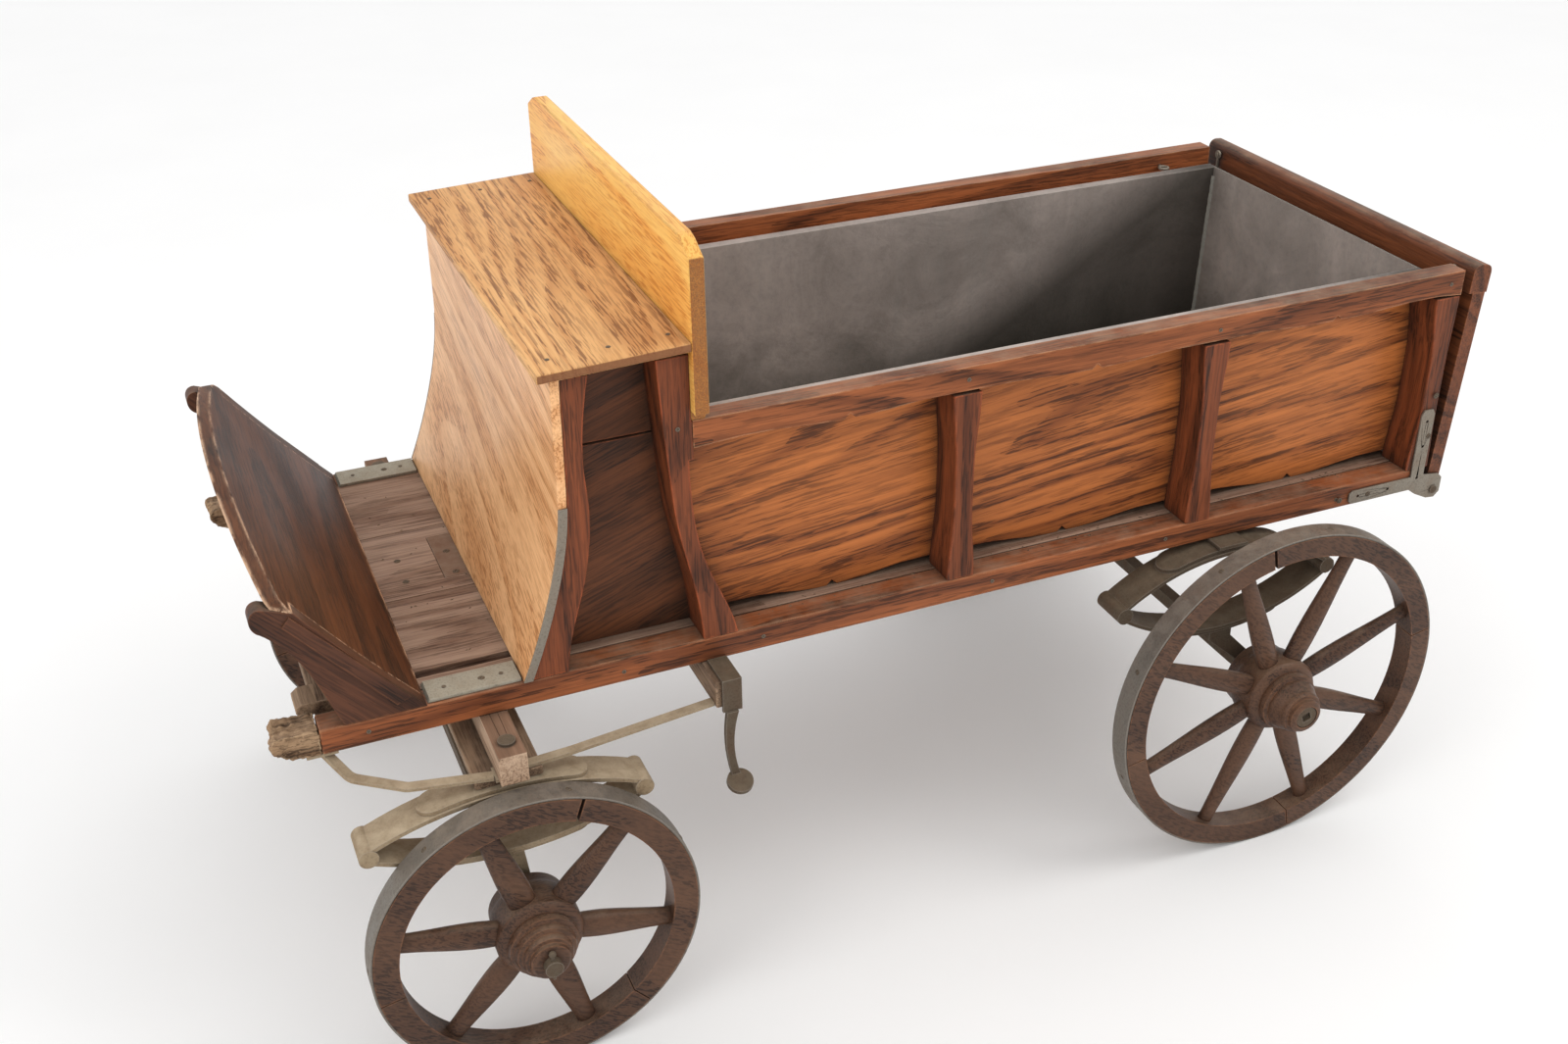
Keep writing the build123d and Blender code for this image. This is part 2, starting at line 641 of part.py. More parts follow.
def front_springs():
    """The two elliptic springs under the transom."""
    left = elliptic_spring(FRONT_AXLE_X + 10, 222, TRANSOM_BOTTOM, SPRING_WIDTH)
    return left + [mirror(solid, about=Plane.XZ) for solid in left]


def rear_springs():
    """The two elliptic springs under the sills."""
    left = elliptic_spring(REAR_SPRING_X, REAR_SPRING_BOTTOM, REAR_SPRING_TOP, REAR_SPRING_WIDTH)
    return left + [mirror(solid, about=Plane.XZ) for solid in left]


def transom():
    """Board that turns on the king bolt and rests on the front springs."""
    x = FRONT_AXLE_X + 4
    board = block((x - 28, x + 31), (-266, 266), (TRANSOM_BOTTOM, TRANSOM_TOP))
    hole = rod((x, 0, TRANSOM_BOTTOM - 1), (x, 0, TRANSOM_TOP + 1), KING_BOLT + RUNNING_FIT)
    return board - hole


def spring_seat(axle_x, axle_z, spring_x, spring_z, y_range):
    """Block between an axle bar and the spring above it."""
    half = AXLE_BAR / 2
    points = [(axle_x - half - 3, axle_z + half), (axle_x + half + 3, axle_z + half),
              (spring_x + 13, spring_z - 9), (spring_x + 13, spring_z), (spring_x - 13, spring_z),
              (spring_x - 13, spring_z - 9)]
    return both_sides(side_polygon(points, y_range))


def axle(axle_x, axle_z, arm_end):
    """Square axle bar with a round arm and collar at each end."""
    half_bar = AXLE_BAR / 2
    whole = block((axle_x - half_bar, axle_x + half_bar), (-246, 246), (axle_z - half_bar, axle_z + half_bar))
    for side in (1, -1):
        whole += rod((axle_x, side * 246, axle_z), (axle_x, side * arm_end, axle_z), AXLE_RADIUS)
        whole += rod((axle_x, side * 246, axle_z), (axle_x, side * 249.5, axle_z), 15)
    return whole


def hub_nut():
    """Round nut on the rear axle's end, sunk in the nave, with a square socket."""
    low, high = HUB_NUT_Y
    nut = rod((REAR_AXLE_X, low, REAR_RADIUS), (REAR_AXLE_X, high, REAR_RADIUS), HUB_NUT)
    half = HUB_SOCKET / 2
    socket = block((-half, half), (high - 4.0, high + 1), (-half, half))
    return nut - Pos(REAR_AXLE_X, 0, REAR_RADIUS) * Rot(0, 20, 0) * socket


def nut_recess():
    """Counterbore in a rear nave's outer end, clear of the nut all round."""
    low, high = HUB_NUT_Y
    return rod((REAR_AXLE_X, low - 0.5, REAR_RADIUS), (REAR_AXLE_X, high + 2, REAR_RADIUS), HUB_NUT + 0.5)


def linchpin():
    """Bent pin through the end of the front axle arm."""
    x, z = FRONT_AXLE_X, FRONT_RADIUS
    y = 337.0
    straight = rod((x, y, z - 13), (x, y, z + 14), 1.6)
    return straight + Pos(x, y, z + 14) * Sphere(3.2)


# ---------------------------------------------------------------- wheels
NAVE = [(250, 32), (253, 35), (264, 36), (268, 38), (276, 39), (297, 39), (300, 37), (303, 33), (304, 30.5),
        (306, 31.5), (311, 30.5), (313, 27), (315, 27.5), (319, 26), (321, 22.5), (323, 22.5), (326, 21),
        (327, 18), (331, 17.5), (333, 14.5)]


def nave_profile(extra):
    """Turned hub as rings along its axis: (distance along Y, radius)."""
    return [(y if y < 320 else y + extra, r) for y, r in NAVE]


def turned(axle_x, axle_z, points, bore):
    """Solid of revolution about a wheel's axis."""
    outer = [(axle_x, y, axle_z + r) for y, r in points]
    first, last = points[0][0], points[-1][0]
    loop = [(axle_x, first, axle_z + bore)] + outer + [(axle_x, last, axle_z + bore)]
    face = make_face(Polyline(*loop, close=True))
    return revolve(face, axis=Axis((axle_x, 0, axle_z), (0, 1, 0)))


def spokes(axle_x, axle_z, count, phase, inner, outer, wide):
    """Oval spokes, widest just outside the nave and tapering to the felloes."""
    y = WHEEL_FACE - FELLOE_WIDTH / 2
    sections = [(0.0, 0.82), (0.25, 1.0), (0.6, 0.86), (1.0, 0.7)]
    result = []
    for index in range(count):
        angle = math.radians(phase + index * 360 / count)
        out = Vector(math.cos(angle), 0, math.sin(angle))
        centre = Vector(axle_x, y, axle_z)
        ovals = []
        for place, share in sections:
            plane = Plane(centre + out * (inner + (outer - inner) * place), x_dir=(0, 1, 0), z_dir=out)
            ovals.append(plane * Ellipse(wide * share * 0.36, wide * share / 2))
        result.append(loft(ovals))
    return result


def felloes(axle_x, axle_z, inner, outer, count, phase):
    """Rim segments with gaps at their joints, the first one opened wider by shrinkage."""
    low = WHEEL_FACE - FELLOE_WIDTH
    ring = rod((axle_x, low, axle_z), (axle_x, WHEEL_FACE, axle_z), outer)
    ring -= rod((axle_x, low - 1, axle_z), (axle_x, WHEEL_FACE + 1, axle_z), inner)
    for index in range(count):
        gap = 1.5 if index == 0 else 0.5
        saw = block((inner - 5, outer + 5), (low - 1, WHEEL_FACE + 1), (-gap, gap))
        ring -= Pos(axle_x, 0, axle_z) * Rot(0, -(phase + index * 360 / count), 0) * saw
    return ring.solids()


def tyre(axle_x, axle_z, radius):
    """Iron tyre round the felloes."""
    low, high = WHEEL_FACE - FELLOE_WIDTH + 0.5, WHEEL_FACE - 0.5
    ring = rod((axle_x, low, axle_z), (axle_x, high, axle_z), radius)
    ring -= rod((axle_x, low - 1, axle_z), (axle_x, high + 1, axle_z), radius - TYRE_THICKNESS)
    return ring


def wheel(name, side, place, inner, spoke_count, phases, wide, extra):
    """Write one wheel's nave, spokes, felloes and tyre. Its place is its axle's X and its radius."""
    axle_x, radius = place
    spoke_phase, joint_phase = phases
    bore = AXLE_RADIUS + RUNNING_FIT
    sticks = spokes(axle_x, radius, spoke_count, spoke_phase, 26, inner + 6, wide)
    nave = turned(axle_x, radius, nave_profile(extra), bore)
    if extra:
        nave -= nut_recess()
    rim = felloes(axle_x, radius, inner, radius - TYRE_THICKNESS, spoke_count // 2, joint_phase)
    for stick in sticks:
        nave -= stick
        rim = [segment - stick for segment in rim]
    pieces = {"nave": [nave], "spokes": sticks, "felloes": rim, "tyre": [tyre(axle_x, radius, radius)]}
    for kind, solids in pieces.items():
        placed = solids if side > 0 else [mirror(solid, about=Plane.XZ) for solid in solids]
        save("wheel_" + name + "_" + kind, *placed)


# ---------------------------------------------------------------- tailgate
def raked(solid):
    """Turn an upright tailgate piece back about its pivot to its closed position."""
    x, z = TAILGATE_PIVOT
    return Pos(x, 0, z) * Rot(0, -TAILGATE_RAKE, 0) * Pos(-x, 0, -z) * solid


def tailgate_board():
    """Board that closes the rear of the box, drilled at its ends for the pins."""
    x, z = TAILGATE_PIVOT
    half = TAILGATE_THICKNESS / 2
    board = block((x - half, x + half), (-TAILGATE_HALF, TAILGATE_HALF), (z - 8, 544))
    for side in (1, -1):
        board -= rod((x, side * (HALF_BODY - 24), z), (x, side * (HALF_BODY + 2), z), PIVOT_PIN + RUNNING_FIT)
    return raked(board)


def tailgate_rail():
    """Rounded rail along the top of the tailgate."""
    x = TAILGATE_PIVOT[0]
    low, high = 544.0, 573.0
    front, rear = x + 12, x - 9.5
    rounding = 8
    paths = [
        [(rear, low), (rear, high - rounding)],
        [(rear, high - rounding), (rear + 2.4, high - 2.4), (rear + rounding, high)],
        [(rear + rounding, high), (front - rounding, high)],
        [(front - rounding, high), (front - 2.4, high - 2.4), (front, high - rounding)],
        [(front, high - rounding), (front, low)],
        [(front, low), (rear, low)],
    ]
    return raked(side_profile(paths, (-TAILGATE_HALF, TAILGATE_HALF)))


def hook_screw(side):
    """Headed screw in the tailgate rail's front that the hook hangs on."""
    x, y, z = HOOK_PIVOT
    shank = rod((x - 12, side * y, z), (x + HOOK_WIRE, side * y, z), HOOK_SCREW)
    return shank + rod((x + HOOK_WIRE, side * y, z), (x + HOOK_WIRE + 1, side * y, z), HOOK_SCREW + 1)


def hook(side):
    """Bent wire hook with a ring round its screw."""
    x, y, z = HOOK_PIVOT
    flat = (x - HOOK_WIRE + 0.1, x + HOOK_WIRE - 0.1)
    ring = rod((flat[0], side * y, z), (flat[1], side * y, z), 4.6)
    ring -= rod((x - 3, side * y, z), (x + 3, side * y, z), HOOK_SCREW + RUNNING_FIT)
    shank = block(flat, (side * y - 1.4, side * y + 1.4), (z - 30, z - 4))
    bill = block(flat, (side * y - 8, side * y + 1.4), (z - 32.5, z - 30))
    return ring + shank + bill


# ---------------------------------------------------------------- small fasteners
def nail(x, y, z, direction):
    """Flat nail head standing a hair proud of a face."""
    a = Vector(x, y, z)
    return rod(a, a + Vector(*direction) * 0.5, NAIL_RADIUS)


def body_nails():
    """Nails of the body's left side."""
    side = HALF_BODY
    on_side = [(520, 346), (300, 344), (170, 346), (-60, 346), (-250, 346), (-452, 344),
               (-26, 559), (-285, 559), (-550, 559), (241, 566)]
    left = [nail(x, side, z, (0, 1, 0)) for x, z in on_side]
    slope = SEAT_FRONT_DROP / (SEAT_FRONT - SEAT_BACK_FACE)
    left += [nail(x, 205, seat_height(x), (slope, 0, 1)) for x in (340, 290, 240)]
    left += [nail(x, 204, SILL_TOP + 3, (0, 0, 1)) for x in (403, 452)]
    return left


def seat_height(x):
    """Height of the seat board's top at a place along the wagon."""
    t = (x - SEAT_BACK_FACE) / (SEAT_FRONT - SEAT_BACK_FACE)
    return SEAT_TOP - SEAT_FRONT_DROP * t


# ---------------------------------------------------------------- write every node
def write_body():
    """The nodes of the wagon's fixed body."""
    save("sills", *both_sides(sill()))
    save("sill_noses", *both_sides(sill_nose()))
    save("front_crosspiece", front_crosspiece())
    save("shaft_bearers", *both_sides(shaft_bearer()))
    save("floor_bearers", *[bearer - king_bolt() for bearer in floor_bearers()])
    save("foot_boards", *foot_boards())
    save("foot_irons", *both_sides(foot_iron()), floor_patch())
    save("dash_board", dash_board())
    save("dash_brackets", *both_sides(dash_bracket()), *both_sides(dash_batten()))
    save("seat_riser", seat_riser())
    save("riser_edgings", *both_sides(riser_edging()))
    save("seat_posts", *both_sides(seat_post_front()), *both_sides(seat_post_rear()))
    save("seat_side_boards", *[both_sides(board) for board in seat_side_boards()])
    save("seat_board", seat_board())
    save("seat_back", seat_back())
    save("top_rails", *both_sides(top_rail()))
    save("side_boards", *both_sides(side_board()))
    save("side_posts", *[item for post in side_posts() for item in both_sides(post)])
    save("box_front_board", box_front_board())
    save("box_floor", *box_floor())
    save("zinc_liner", zinc_liner())
    save("corner_irons", *both_sides(corner_iron()))
    save("rail_eyes", *both_sides(rail_eye()))
    fasteners = body_nails() + [carriage_bolt(), tailgate_pin()]
    save("body_fasteners", *[both_sides(piece) for piece in fasteners])


def write_undercarriage():
    """The nodes under the body, fixed ones first and then the turning fore carriage."""
    save("front_bolster", front_bolster())
    save("rub_plate", rub_plate())
    save("king_bolt", king_bolt())
    save("stays", *both_sides(front_stay()), *both_sides(rear_stay()))
    save("step_bar", step_bar())
    save("step_irons", *both_sides(step_iron()))
    save("rear_bolster", rear_bolster())
    save("rear_springs", *rear_springs())
    rear_seats = spring_seat(REAR_AXLE_X, REAR_RADIUS, REAR_SPRING_X, REAR_SPRING_BOTTOM, (207, 237))
    save("rear_spring_seats", *rear_seats)
    save("rear_axle", axle(REAR_AXLE_X, REAR_RADIUS, HUB_NUT_Y[0]) + both_sides(hub_nut()))
    save("transom", transom())
    save("front_springs", *front_springs())
    save("front_spring_seats", *spring_seat(FRONT_AXLE_X, FRONT_RADIUS, FRONT_AXLE_X + 10, 222, (226, 245.5)))
    save("front_axle", axle(FRONT_AXLE_X, FRONT_RADIUS, 341) - side_group(linchpin()))
    save("linchpins", *both_sides(linchpin()))


def write_wheels():
    """The four wheels."""
    front, rear = (FRONT_AXLE_X, FRONT_RADIUS), (REAR_AXLE_X, REAR_RADIUS)
    for end, side in (("left", 1), ("right", -1)):
        wheel("front_" + end, side, front, FRONT_FELLOE_INNER, 6, (13, 109.5), 26, 0)
        wheel("rear_" + end, side, rear, REAR_FELLOE_INNER, 8, (24.5, 79), 23, 6)


def write_tailgate():
    """The tailgate and its two hooks."""
    save("tailgate_board", tailgate_board())
    save("tailgate_rail", tailgate_rail() - hook_screw(1) - hook_screw(-1))
    save("hook_screws", hook_screw(1), hook_screw(-1))
    for name, side in (("hook_left", 1), ("hook_right", -1)):
        save(name, hook(side))


write_body()
write_undercarriage()
write_wheels()
write_tailgate()
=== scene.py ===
import math
import random

import bpy
from mathutils import Matrix, Vector


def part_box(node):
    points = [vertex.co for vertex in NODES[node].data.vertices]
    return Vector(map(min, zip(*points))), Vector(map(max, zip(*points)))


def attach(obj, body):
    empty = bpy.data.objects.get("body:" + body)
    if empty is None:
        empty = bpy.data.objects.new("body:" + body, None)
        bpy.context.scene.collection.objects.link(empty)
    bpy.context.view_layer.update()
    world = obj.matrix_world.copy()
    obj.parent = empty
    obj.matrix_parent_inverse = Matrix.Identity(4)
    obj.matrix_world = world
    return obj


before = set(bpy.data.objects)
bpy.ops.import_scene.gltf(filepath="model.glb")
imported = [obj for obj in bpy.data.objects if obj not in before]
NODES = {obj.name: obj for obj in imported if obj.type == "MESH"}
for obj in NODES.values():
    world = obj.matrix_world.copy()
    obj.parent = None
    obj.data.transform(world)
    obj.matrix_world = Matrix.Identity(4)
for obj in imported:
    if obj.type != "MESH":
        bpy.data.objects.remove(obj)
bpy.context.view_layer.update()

# ---------------------------------------------------------------- sizes, in metres
SILL_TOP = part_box("sills")[1].z
LINER_HALF = 0.172
LINER_REAR_FOOT = -0.545
LINER_REAR_SLOPE = 0.008
BEAD = 0.0028
FOOT_IRON_Y = 0.204
LENS = 39.82
CAMERA_AT = (0.6407, 1.41665, 1.20068)
CAMERA_AZIMUTH = 157.638
CAMERA_ELEVATION = 29.8785
CAMERA_ROLL = -0.7756


# ---------------------------------------------------------------- shader helpers
def srgb(r, g, b):
    """Scene-linear colour from 0-255 display values."""
    def lin(c):
        c = c / 255
        return c / 12.92 if c <= 0.04045 else ((c + 0.055) / 1.055) ** 2.4
    return (lin(r), lin(g), lin(b), 1.0)


class Shader:
    """A material under construction: each method adds a node and gives its output."""

    def __init__(self, name):
        self.material = bpy.data.materials.new(name)
        self.material.use_nodes = True
        self.tree = self.material.node_tree
        self.bsdf = self.tree.nodes["Principled BSDF"]
        self.coords = self.add("ShaderNodeTexCoord").outputs["Object"]

    def add(self, kind, **settings):
        node = self.tree.nodes.new(kind)
        for key, value in settings.items():
            setattr(node, key, value)
        return node

    def feed(self, socket, value):
        if isinstance(value, bpy.types.NodeSocket):
            self.tree.links.new(value, socket)
        else:
            socket.default_value = value

    def map(self, vector, scale=(1, 1, 1), turn=(0, 0, 0), shift=(0, 0, 0)):
        node = self.add("ShaderNodeMapping")
        self.feed(node.inputs["Vector"], vector)
        self.feed(node.inputs["Scale"], scale)
        self.feed(node.inputs["Rotation"], [math.radians(a) for a in turn])
        self.feed(node.inputs["Location"], shift)
        return node.outputs[0]

    def noise(self, vector, scale, detail=3.0, rough=0.55, distortion=0.0):
        node = self.add("ShaderNodeTexNoise")
        self.feed(node.inputs["Vector"], vector)
        self.feed(node.inputs["Scale"], scale)
        self.feed(node.inputs["Detail"], detail)
        self.feed(node.inputs["Roughness"], rough)
        self.feed(node.inputs["Distortion"], distortion)
        return node.outputs["Fac"]

    def ramp(self, factor, *stops):
        """Colour or value stops as (position, value)."""
        node = self.add("ShaderNodeValToRGB")
        self.feed(node.inputs["Fac"], factor)
        elements = node.color_ramp.elements
        while len(elements) < len(stops):
            elements.new(0.5)
        for element, (position, value) in zip(elements, stops):
            element.position = position
            element.color = value if isinstance(value, tuple) else (value, value, value, 1)
        return node.outputs["Color"]

    def mix(self, factor, a, b, blend="MIX"):
        node = self.add("ShaderNodeMix", data_type="RGBA", blend_type=blend)
        self.feed(node.inputs["Factor"], factor)
        self.feed(node.inputs[6], a)
        self.feed(node.inputs[7], b)
        return node.outputs[2]

    def math(self, operation, a, b=0.5):
        node = self.add("ShaderNodeMath", operation=operation, use_clamp=operation in ("ADD", "SUBTRACT",
                "MULTIPLY"))
        self.feed(node.inputs[0], a)
        self.feed(node.inputs[1], b)
        return node.outputs[0]

    def add_plain(self, a, b, operation):
        """Unclamped arithmetic."""
        node = self.add("ShaderNodeMath", operation=operation)
        self.feed(node.inputs[0], a)
        self.feed(node.inputs[1], b)
        return node.outputs[0]

    def upward(self):
        """How much a surface faces up, from 0 to 1."""
        normal = self.add("ShaderNodeNewGeometry").outputs["Normal"]
        split = self.add("ShaderNodeSeparateXYZ")
        self.feed(split.inputs[0], normal)
        return self.ramp(split.outputs["Z"], (0.55, 0.0), (0.95, 1.0))

    def edges(self, radius):
        """Mask of a piece's outer edges, from a rounded normal."""
        rounded = self.add("ShaderNodeBevel", samples=3)
        self.feed(rounded.inputs["Radius"], radius)
        flat = self.add("ShaderNodeNewGeometry").outputs["Normal"]
        dot = self.add("ShaderNodeVectorMath", operation="DOT_PRODUCT")
        self.feed(dot.inputs[0], rounded.outputs[0])
        self.feed(dot.inputs[1], flat)
        return self.ramp(dot.outputs["Value"], (0.86, 1.0), (0.995, 0.0))

    def occlusion_shade(self, reach):
        """Mask of corners and recesses from ambient occlusion, used to paint shade into the colour."""
        node = self.add("ShaderNodeAmbientOcclusion", samples=4)
        self.feed(node.inputs["Distance"], reach)
        return self.ramp(node.outputs["AO"], (0.35, 1.0), (0.85, 0.0))

    def piece_random(self):
        return self.add("ShaderNodeNewGeometry").outputs["Random Per Island"]

    def finish(self, color, roughness, height=None, depth=0.0003, strength=0.6):
        self.feed(self.bsdf.inputs["Base Color"], color)
        self.feed(self.bsdf.inputs["Roughness"], roughness)
        self.feed(self.bsdf.inputs["Specular IOR Level"], 0.22)
        if height is not None:
            bump = self.add("ShaderNodeBump")
            self.feed(bump.inputs["Strength"], strength)
            self.feed(bump.inputs["Distance"], depth)
            self.feed(bump.inputs["Height"], height)
            self.feed(self.bsdf.inputs["Normal"], bump.outputs[0])
        return self.material


# ---------------------------------------------------------------- materials
def wood(name, light, mid, dark, pore, turn=(0, 0, 0), figure=9.0, stretch=0.12, gloss=0.42, dust=0.35,
         worn=None, wear=0.5, corner_shade_amount=0.7, contrast=1.0, edge_size=0.0022, top=None, ends=None):
    """Oak-like wood: long flat-sawn figure, fine pores, uneven varnish, worn edges, painted shade in corners
    and dust.
    """
    s = Shader(name)
    chance = s.piece_random()
    spread = s.add("ShaderNodeCombineXYZ")
    for axis, amount in zip("XYZ", (3.1, 0.37, 0.23)):
        s.feed(spread.inputs[axis], s.math("MULTIPLY", chance, amount))
    moved = s.add("ShaderNodeVectorMath", operation="ADD")
    s.feed(moved.inputs[0], s.map(s.coords, turn=turn))
    s.feed(moved.inputs[1], spread.outputs[0])
    along = moved.outputs[0]

    field = s.noise(s.map(along, scale=(stretch, 1, 1)), 9.5, 1.2, 0.35)
    wobble = s.noise(s.map(along, scale=(14, 60, 60)), 1.0, 2, 0.5)
    field = s.add_plain(s.add_plain(field, figure, "MULTIPLY"), s.add_plain(wobble, 0.22, "MULTIPLY"), "ADD")
    rings = s.add_plain(field, 0.5, "FRACT")
    streaks = s.noise(s.map(along, scale=(4, 230, 230)), 1.0, 3, 0.6)
    pores = s.noise(s.map(along, scale=(30, 560, 560)), 1.0, 2, 0.55)
    fibre = s.noise(s.map(along, scale=(15, 1300, 1300)), 1.0, 1.5, 0.5)
    blotch = s.noise(s.map(along, scale=(4, 12, 12)), 1.0, 3, 0.55)

    soft = s.mix(0.8 * contrast, mid, light)
    deep = s.mix(0.9 * contrast, mid, dark)
    body = s.ramp(rings, (0.0, 0.25), (0.12, 0.0), (0.55, 0.3), (0.86, 1.0), (1.0, 0.4))
    body = s.mix(body, soft, deep)
    body = s.mix(s.ramp(streaks, (0.42, 0.0), (0.66, 0.6 * contrast)), body, dark)
    body = s.mix(s.ramp(fibre, (0.48, 0.0), (0.7, 0.22)), body, light)
    late = s.ramp(rings, (0.2, 0.35), (0.75, 1.0))
    ring_pores = s.math("MULTIPLY", s.ramp(pores, (0.5, 0.0), (0.57, 1.0)), late)
    body = s.mix(s.math("MULTIPLY", ring_pores, 0.8), body, pore)
    body = s.mix(s.ramp(blotch, (0.4, 0.0), (0.75, 0.35)), body, dark)
    body = s.mix(s.ramp(blotch, (0.25, 0.3), (0.45, 0.0)), body, light)
    tone = s.ramp(chance, (0.0, 0.82), (1.0, 1.08))
    body = s.mix(0.5, body, s.mix(1.0, body, tone, "MULTIPLY"))

    chips = s.noise(s.map(along, scale=(34, 170, 170)), 1.0, 3, 0.7)
    edge = s.math("MULTIPLY", s.edges(edge_size), s.ramp(chips, (0.38, 0.0), (0.58, 1.0)))
    if worn is not None:
        body = s.mix(s.math("MULTIPLY", edge, wear), body, worn)
    if ends is not None:
        split = s.add("ShaderNodeSeparateXYZ")
        s.feed(split.inputs[0], s.add("ShaderNodeNewGeometry").outputs["Normal"])
        end_face = s.ramp(s.add_plain(split.outputs["Y"], 0.0, "ABSOLUTE"), (0.6, 0.0), (0.85, 0.9))
        body = s.mix(end_face, body, s.mix(s.ramp(fibre, (0.35, 0.0), (0.7, 0.6)), ends, pore))
    if top is not None:
        body = s.mix(s.math("MULTIPLY", s.upward(), 0.85), body, s.mix(s.ramp(streaks, (0.3, 0.0), (0.7,
                0.7)), top, pore))
    # Painted shade: ambient occlusion darkens corners and recesses towards a near-black brown and makes them
    # rougher.
    corner_shade = s.math("MULTIPLY", s.occlusion_shade(0.016), corner_shade_amount)
    body = s.mix(corner_shade, body, srgb(34, 23, 17))
    settle = s.math("MULTIPLY", s.upward(), s.ramp(s.noise(s.coords, 30, 5, 0.7), (0.35, 0.05), (0.72, 1.0)))
    settle = s.math("MULTIPLY", settle, dust)
    body = s.mix(settle, body, srgb(168, 144, 122))

    rough = s.mix(s.ramp(blotch, (0.3, 0.0), (0.8, 1.0)), (gloss,) * 3 + (1,), (gloss + 0.2,) * 3 + (1,))
    rough = s.mix(s.math("MAXIMUM", settle, corner_shade), rough, (0.9, 0.9, 0.9, 1))
    height = s.math("SUBTRACT", s.math("MULTIPLY", streaks, 0.5), s.math("MULTIPLY", ring_pores, 0.6))
    return s.finish(body, rough, height, 0.0005, 0.5)


def iron(name, base, rust, dusty, gloss=0.5, rust_amount=0.4, dust=0.3, metal=0.75, scale=60.0, middle=None):
    """Old iron: pitted, stained with rust, dust on what faces up, rubbed bright at the edges."""
    s = Shader(name)
    pits = s.noise(s.coords, scale * 8, 4, 0.65)
    patches = s.noise(s.coords, scale, 5, 0.65)
    color = s.mix(s.ramp(patches, (0.42, 0.0), (0.68, rust_amount)), base, rust)
    color = s.mix(s.ramp(pits, (0.5, 0.0), (0.75, 0.45)), color, srgb(44, 34, 28))
    if middle is not None:
        split = s.add("ShaderNodeSeparateXYZ")
        s.feed(split.inputs[0], s.coords)
        centre = s.ramp(s.add_plain(split.outputs["Y"], 0.0, "ABSOLUTE"), (0.12, 1.0), (0.14, 0.0))
        color = s.mix(centre, color, middle)
    rub = s.math("MULTIPLY", s.edges(0.0012), 0.5)
    color = s.mix(rub, color, srgb(168, 160, 150))
    # Painted shade: ambient occlusion darkens the iron's corners and recesses.
    color = s.mix(s.math("MULTIPLY", s.occlusion_shade(0.01), 0.55), color, srgb(40, 32, 26))
    settle = s.math("MULTIPLY", s.upward(), s.ramp(s.noise(s.coords, 70, 4, 0.7), (0.3, 0.2), (0.7, 1.0)))
    settle = s.math("MULTIPLY", settle, dust)
    color = s.mix(settle, color, dusty)
    s.feed(s.bsdf.inputs["Metallic"], s.ramp(s.math("MAXIMUM", settle, s.ramp(patches, (0.42, 0.0), (0.68,
            1.0))),
                                            (0.0, metal), (0.8, 0.1)))
    rough = s.ramp(s.math("MAXIMUM", patches, settle), (0.3, gloss), (0.8, 0.85))
    return s.finish(color, rough, pits, 0.0005, 0.5)


def zinc(name):
    """Oxidised zinc sheet: cloudy grey bloom, runs down the walls, darker and greener low down, painted shade
    in the corners and a painted cast shadow low down at the rear.
    """
    s = Shader(name)
    cloud = s.noise(s.map(s.coords, scale=(1, 1, 1)), 9, 6, 0.62, 0.6)
    fine = s.noise(s.coords, 120, 4, 0.7)
    runs = s.noise(s.map(s.coords, scale=(55, 55, 3)), 1.0, 4, 0.6)
    split = s.add("ShaderNodeSeparateXYZ")
    s.feed(split.inputs[0], s.coords)
    color = s.ramp(cloud, (0.25, srgb(148, 138, 131)), (0.5, srgb(176, 164, 157)), (0.75, srgb(198, 184,
            176)))
    color = s.mix(s.ramp(fine, (0.45, 0.0), (0.8, 0.3)), color, srgb(84, 84, 80))
    color = s.mix(s.ramp(runs, (0.5, 0.0), (0.8, 0.3)), color, srgb(150, 148, 142))
    low = s.ramp(s.math("ADD", split.outputs["Z"], s.math("MULTIPLY", cloud, 0.06)), (0.385, 1.0), (0.48,
            0.0))
    color = s.mix(s.math("MULTIPLY", low, 0.6), color, srgb(78, 76, 66))
    # Painted shade: ambient occlusion darkens the lining's corners and recesses.
    color = s.mix(s.math("MULTIPLY", s.occlusion_shade(0.05), 0.4), color, srgb(52, 50, 44))
    # Painted shadow: a dark region with a diagonal edge, low down and towards the rear on the side walls and
    # floor, stands in for the tailgate's cast shadow.
    rear_cast_shadow = s.add_plain(s.add_plain(split.outputs["Z"], -1.6, "MULTIPLY"), split.outputs["X"], "SUBTRACT")
    rear_cast_shadow = s.add_plain(rear_cast_shadow, s.add_plain(cloud, 0.06, "MULTIPLY"), "ADD")
    facing = s.add("ShaderNodeSeparateXYZ")
    s.feed(facing.inputs[0], s.add("ShaderNodeNewGeometry").outputs["Normal"])
    side_wall = s.ramp(s.add_plain(facing.outputs["X"], 0.0, "ABSOLUTE"), (0.3, 1.0), (0.7, 0.0))
    rear_cast_shadow = s.math("MULTIPLY", s.ramp(s.add_plain(rear_cast_shadow, 1.0, "ADD"), (0.55, 0.0), (0.67, 1.0)), side_wall)
    color = s.mix(s.math("MULTIPLY", rear_cast_shadow, 0.8), color, srgb(44, 41, 34))
    color = s.mix(s.math("MULTIPLY", s.edges(0.0014), 0.7), color, srgb(186, 180, 170))
    s.feed(s.bsdf.inputs["Metallic"], s.ramp(cloud, (0.3, 0.5), (0.8, 0.25)))
    height = s.math("ADD", s.math("MULTIPLY", cloud, 0.8), s.math("MULTIPLY", fine, 0.06))
    return s.finish(color, s.ramp(fine, (0.3, 0.5), (0.8, 0.72)), height, 0.006, 0.5)


